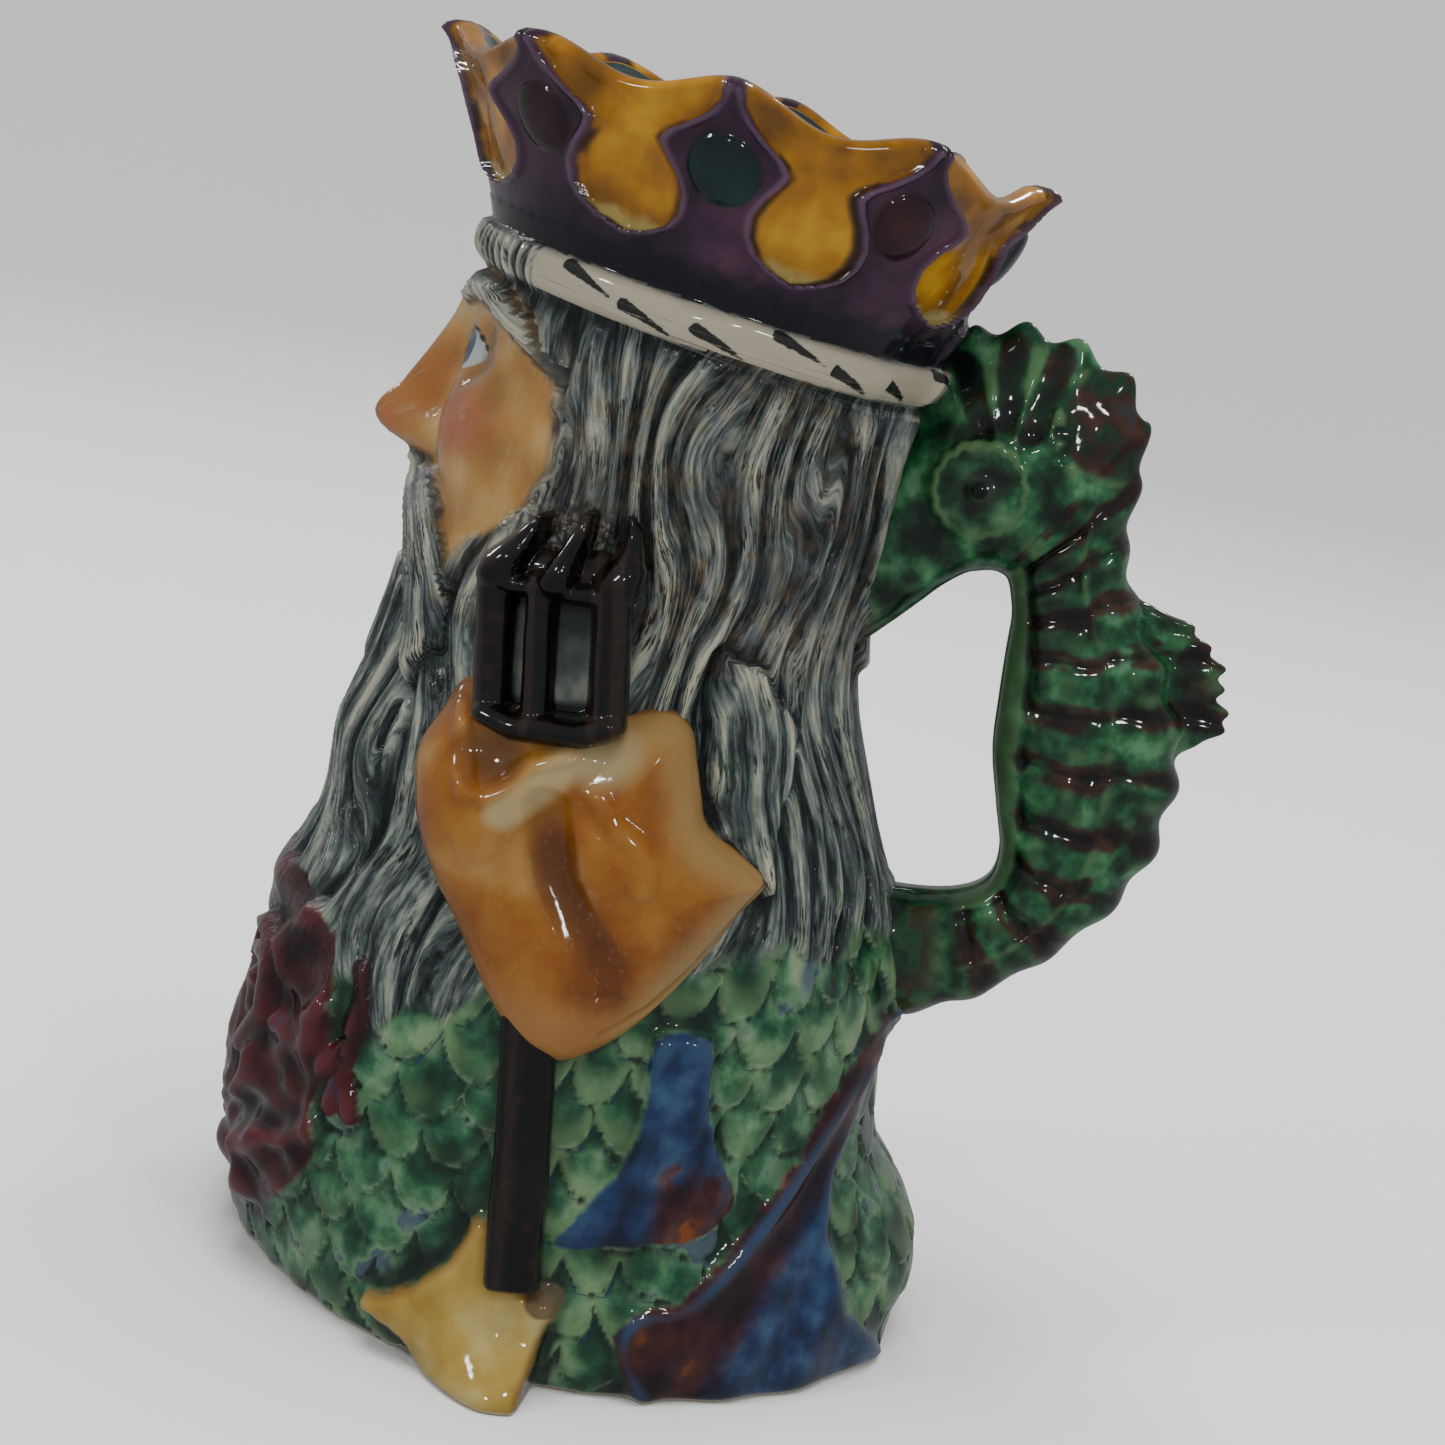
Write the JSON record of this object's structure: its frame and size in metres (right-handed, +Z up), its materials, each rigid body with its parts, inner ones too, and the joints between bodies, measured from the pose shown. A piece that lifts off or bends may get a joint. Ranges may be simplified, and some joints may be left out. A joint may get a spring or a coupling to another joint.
{
  "type": "figural pitcher",
  "caption": "Glazed earthenware pitcher shaped as the bust of a bearded sea king: his crown is the rim and a sea horse is the handle.",
  "frame": {"origin": "centre of the flat foot that the pitcher stands on", "axes": "+Z up; -X the way the king looks; +X towards the handle; -Y the side that carries the hand and trident"},
  "size_m": [0.144, 0.1227, 0.1889],
  "materials": {
    "glazed_earthenware": "high gloss, hand painted in sea green, slate, amber, violet and gold"
  },
  "bodies": {
    "root": {"pitcher": "glazed_earthenware"}
  },
  "joints": []
}
